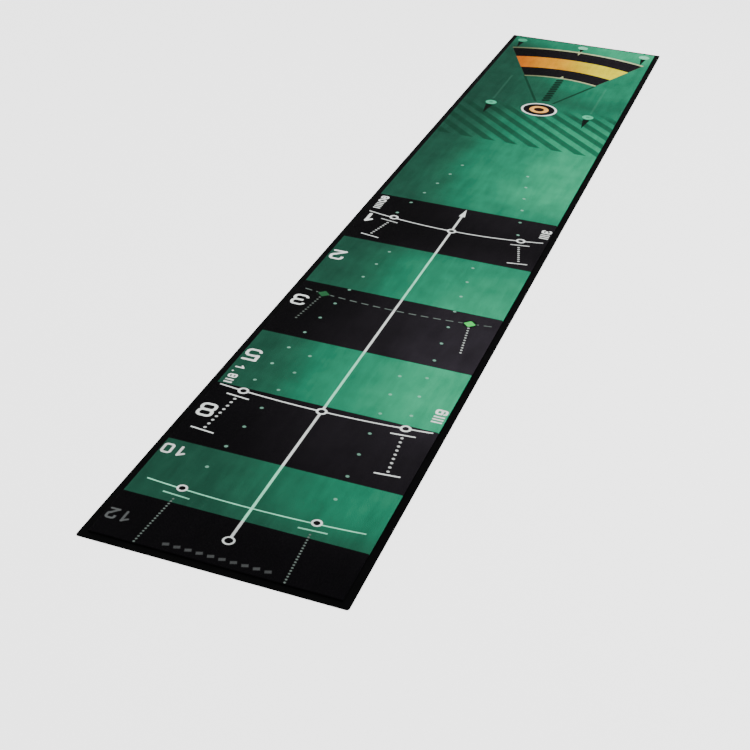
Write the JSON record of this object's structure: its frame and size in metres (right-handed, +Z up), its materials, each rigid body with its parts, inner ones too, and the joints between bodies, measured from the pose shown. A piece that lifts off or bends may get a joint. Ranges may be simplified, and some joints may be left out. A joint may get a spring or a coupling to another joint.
{
  "type": "practice putting mat",
  "caption": "Long flat putting mat: a printed short-pile fabric in green and black bands on a rubber base with a bare rim, which rolls up from the target end.",
  "frame": {"origin": "centre of the mat's underside, on the floor", "axes": "+Y along the mat towards the target end, +Z up out of the pile, X across the mat"},
  "size_m": [0.5, 3, 0.0048],
  "materials": {
    "rubber_base": "matt black nitrile rubber with a fine moulded texture",
    "printed_pile_green": "short cut nylon pile printed green, matt with a soft nap",
    "printed_pile_black": "short cut nylon pile printed black, matt with a soft nap"
  },
  "bodies": {
    "section_01": {"rubber_base_01": "rubber_base", "pile_fabric_01": "printed_pile_black"},
    "section_02": {"rubber_base_02": "rubber_base", "pile_fabric_02": "printed_pile_green"},
    "section_03": {"rubber_base_03": "rubber_base", "pile_fabric_03": "printed_pile_green"},
    "section_04": {"rubber_base_04": "rubber_base", "pile_fabric_04": "printed_pile_black"},
    "section_05": {"rubber_base_05": "rubber_base", "pile_fabric_05": "printed_pile_black"},
    "section_06": {"rubber_base_06": "rubber_base", "pile_fabric_06": "printed_pile_green"},
    "section_07": {"rubber_base_07": "rubber_base", "pile_fabric_07": "printed_pile_green"},
    "section_08": {"rubber_base_08": "rubber_base", "pile_fabric_08": "printed_pile_green"},
    "section_09": {"rubber_base_09": "rubber_base", "pile_fabric_09": "printed_pile_black"},
    "section_10": {"rubber_base_10": "rubber_base", "pile_fabric_10": "printed_pile_black"},
    "section_11": {"rubber_base_11": "rubber_base", "pile_fabric_11": "printed_pile_green"},
    "section_12": {"rubber_base_12": "rubber_base", "pile_fabric_12": "printed_pile_green"},
    "section_13": {"rubber_base_13": "rubber_base", "pile_fabric_13": "printed_pile_green"},
    "section_14": {"rubber_base_14": "rubber_base", "pile_fabric_14": "printed_pile_black"},
    "section_15": {"rubber_base_15": "rubber_base", "pile_fabric_15": "printed_pile_black"},
    "section_16": {"rubber_base_16": "rubber_base", "pile_fabric_16": "printed_pile_black"},
    "section_17": {"rubber_base_17": "rubber_base", "pile_fabric_17": "printed_pile_green"},
    "section_18": {"rubber_base_18": "rubber_base", "pile_fabric_18": "printed_pile_green"},
    "section_19": {"rubber_base_19": "rubber_base", "pile_fabric_19": "printed_pile_green"},
    "section_20": {"rubber_base_20": "rubber_base", "pile_fabric_20": "printed_pile_green"},
    "section_21": {"rubber_base_21": "rubber_base", "pile_fabric_21": "printed_pile_green"},
    "section_22": {"rubber_base_22": "rubber_base", "pile_fabric_22": "printed_pile_green"},
    "section_23": {"rubber_base_23": "rubber_base", "pile_fabric_23": "printed_pile_green"},
    "section_24": {"rubber_base_24": "rubber_base", "pile_fabric_24": "printed_pile_green"},
    "section_25": {"rubber_base_25": "rubber_base", "pile_fabric_25": "printed_pile_green"},
    "section_26": {"rubber_base_26": "rubber_base", "pile_fabric_26": "printed_pile_green"},
    "section_27": {"rubber_base_27": "rubber_base", "pile_fabric_27": "printed_pile_green"},
    "section_28": {"rubber_base_28": "rubber_base", "pile_fabric_28": "printed_pile_green"},
    "section_29": {"rubber_base_29": "rubber_base", "pile_fabric_29": "printed_pile_green"},
    "section_30": {"rubber_base_30": "rubber_base", "pile_fabric_30": "printed_pile_green"}
  },
  "joints": [
    {"name": "roll_up", "type": "hinge", "parent": "section_01", "child": "section_02", "pos_m": [0, -1.40014, 0.0048], "axis": [1, 0, 0], "range_deg": [0, 35]},
    {"name": "roll_up_02", "type": "hinge", "parent": "section_02", "child": "section_03", "pos_m": [0, -1.30013, 0.0048], "axis": [1, 0, 0], "range_deg": [0, 35.5]},
    {"name": "roll_up_03", "type": "hinge", "parent": "section_03", "child": "section_04", "pos_m": [0, -1.20012, 0.0048], "axis": [1, 0, 0], "range_deg": [0, 35.9]},
    {"name": "roll_up_04", "type": "hinge", "parent": "section_04", "child": "section_05", "pos_m": [0, -1.10011, 0.0048], "axis": [1, 0, 0], "range_deg": [0, 36.3]},
    {"name": "roll_up_05", "type": "hinge", "parent": "section_05", "child": "section_06", "pos_m": [0, -1.0001, 0.0048], "axis": [1, 0, 0], "range_deg": [0, 36.7]},
    {"name": "roll_up_06", "type": "hinge", "parent": "section_06", "child": "section_07", "pos_m": [0, -0.90009, 0.0048], "axis": [1, 0, 0], "range_deg": [0, 37.2]},
    {"name": "roll_up_07", "type": "hinge", "parent": "section_07", "child": "section_08", "pos_m": [0, -0.80008, 0.0048], "axis": [1, 0, 0], "range_deg": [0, 37.6]},
    {"name": "roll_up_08", "type": "hinge", "parent": "section_08", "child": "section_09", "pos_m": [0, -0.70007, 0.0048], "axis": [1, 0, 0], "range_deg": [0, 38.1]},
    {"name": "roll_up_09", "type": "hinge", "parent": "section_09", "child": "section_10", "pos_m": [0, -0.60006, 0.0048], "axis": [1, 0, 0], "range_deg": [0, 38.6]},
    {"name": "roll_up_10", "type": "hinge", "parent": "section_10", "child": "section_11", "pos_m": [0, -0.50005, 0.0048], "axis": [1, 0, 0], "range_deg": [0, 39.1]},
    {"name": "roll_up_11", "type": "hinge", "parent": "section_11", "child": "section_12", "pos_m": [0, -0.40004, 0.0048], "axis": [1, 0, 0], "range_deg": [0, 39.7]},
    {"name": "roll_up_12", "type": "hinge", "parent": "section_12", "child": "section_13", "pos_m": [0, -0.30003, 0.0048], "axis": [1, 0, 0], "range_deg": [0, 40.2]},
    {"name": "roll_up_13", "type": "hinge", "parent": "section_13", "child": "section_14", "pos_m": [0, -0.20002, 0.0048], "axis": [1, 0, 0], "range_deg": [0, 40.8]},
    {"name": "roll_up_14", "type": "hinge", "parent": "section_14", "child": "section_15", "pos_m": [0, -0.10001, 0.0048], "axis": [1, 0, 0], "range_deg": [0, 41.4]},
    {"name": "roll_up_15", "type": "hinge", "parent": "section_15", "child": "section_16", "pos_m": [0, 0, 0.0048], "axis": [1, 0, 0], "range_deg": [0, 42.1]},
    {"name": "roll_up_16", "type": "hinge", "parent": "section_16", "child": "section_17", "pos_m": [0, 0.10001, 0.0048], "axis": [1, 0, 0], "range_deg": [0, 42.7]},
    {"name": "roll_up_17", "type": "hinge", "parent": "section_17", "child": "section_18", "pos_m": [0, 0.20002, 0.0048], "axis": [1, 0, 0], "range_deg": [0, 43.4]},
    {"name": "roll_up_18", "type": "hinge", "parent": "section_18", "child": "section_19", "pos_m": [0, 0.30003, 0.0048], "axis": [1, 0, 0], "range_deg": [0, 44.2]},
    {"name": "roll_up_19", "type": "hinge", "parent": "section_19", "child": "section_20", "pos_m": [0, 0.40004, 0.0048], "axis": [1, 0, 0], "range_deg": [0, 45]},
    {"name": "roll_up_20", "type": "hinge", "parent": "section_20", "child": "section_21", "pos_m": [0, 0.50005, 0.0048], "axis": [1, 0, 0], "range_deg": [0, 45.8]},
    {"name": "roll_up_21", "type": "hinge", "parent": "section_21", "child": "section_22", "pos_m": [0, 0.60006, 0.0048], "axis": [1, 0, 0], "range_deg": [0, 46.7]},
    {"name": "roll_up_22", "type": "hinge", "parent": "section_22", "child": "section_23", "pos_m": [0, 0.70007, 0.0048], "axis": [1, 0, 0], "range_deg": [0, 47.6]},
    {"name": "roll_up_23", "type": "hinge", "parent": "section_23", "child": "section_24", "pos_m": [0, 0.80008, 0.0048], "axis": [1, 0, 0], "range_deg": [0, 48.6]},
    {"name": "roll_up_24", "type": "hinge", "parent": "section_24", "child": "section_25", "pos_m": [0, 0.90009, 0.0048], "axis": [1, 0, 0], "range_deg": [0, 49.7]},
    {"name": "roll_up_25", "type": "hinge", "parent": "section_25", "child": "section_26", "pos_m": [0, 1.0001, 0.0048], "axis": [1, 0, 0], "range_deg": [0, 50.8]},
    {"name": "roll_up_26", "type": "hinge", "parent": "section_26", "child": "section_27", "pos_m": [0, 1.10011, 0.0048], "axis": [1, 0, 0], "range_deg": [0, 52]},
    {"name": "roll_up_27", "type": "hinge", "parent": "section_27", "child": "section_28", "pos_m": [0, 1.20012, 0.0048], "axis": [1, 0, 0], "range_deg": [0, 53.3]},
    {"name": "roll_up_28", "type": "hinge", "parent": "section_28", "child": "section_29", "pos_m": [0, 1.30013, 0.0048], "axis": [1, 0, 0], "range_deg": [0, 54.7]},
    {"name": "roll_up_29", "type": "hinge", "parent": "section_29", "child": "section_30", "pos_m": [0, 1.40014, 0.0048], "axis": [1, 0, 0], "range_deg": [0, 56.2]}
  ],
  "couplings": [
    {"joint": "roll_up_02", "follows": "roll_up", "ratio": 1.011},
    {"joint": "roll_up_03", "follows": "roll_up", "ratio": 1.0224},
    {"joint": "roll_up_04", "follows": "roll_up", "ratio": 1.0342},
    {"joint": "roll_up_05", "follows": "roll_up", "ratio": 1.0464},
    {"joint": "roll_up_06", "follows": "roll_up", "ratio": 1.0591},
    {"joint": "roll_up_07", "follows": "roll_up", "ratio": 1.0723},
    {"joint": "roll_up_08", "follows": "roll_up", "ratio": 1.0859},
    {"joint": "roll_up_09", "follows": "roll_up", "ratio": 1.1001},
    {"joint": "roll_up_10", "follows": "roll_up", "ratio": 1.1149},
    {"joint": "roll_up_11", "follows": "roll_up", "ratio": 1.1303},
    {"joint": "roll_up_12", "follows": "roll_up", "ratio": 1.1463},
    {"joint": "roll_up_13", "follows": "roll_up", "ratio": 1.1631},
    {"joint": "roll_up_14", "follows": "roll_up", "ratio": 1.1806},
    {"joint": "roll_up_15", "follows": "roll_up", "ratio": 1.199},
    {"joint": "roll_up_16", "follows": "roll_up", "ratio": 1.2182},
    {"joint": "roll_up_17", "follows": "roll_up", "ratio": 1.2384},
    {"joint": "roll_up_18", "follows": "roll_up", "ratio": 1.2597},
    {"joint": "roll_up_19", "follows": "roll_up", "ratio": 1.2821},
    {"joint": "roll_up_20", "follows": "roll_up", "ratio": 1.3058},
    {"joint": "roll_up_21", "follows": "roll_up", "ratio": 1.3308},
    {"joint": "roll_up_22", "follows": "roll_up", "ratio": 1.3574},
    {"joint": "roll_up_23", "follows": "roll_up", "ratio": 1.3857},
    {"joint": "roll_up_24", "follows": "roll_up", "ratio": 1.4159},
    {"joint": "roll_up_25", "follows": "roll_up", "ratio": 1.4481},
    {"joint": "roll_up_26", "follows": "roll_up", "ratio": 1.4827},
    {"joint": "roll_up_27", "follows": "roll_up", "ratio": 1.52},
    {"joint": "roll_up_28", "follows": "roll_up", "ratio": 1.5602},
    {"joint": "roll_up_29", "follows": "roll_up", "ratio": 1.604}
  ]
}
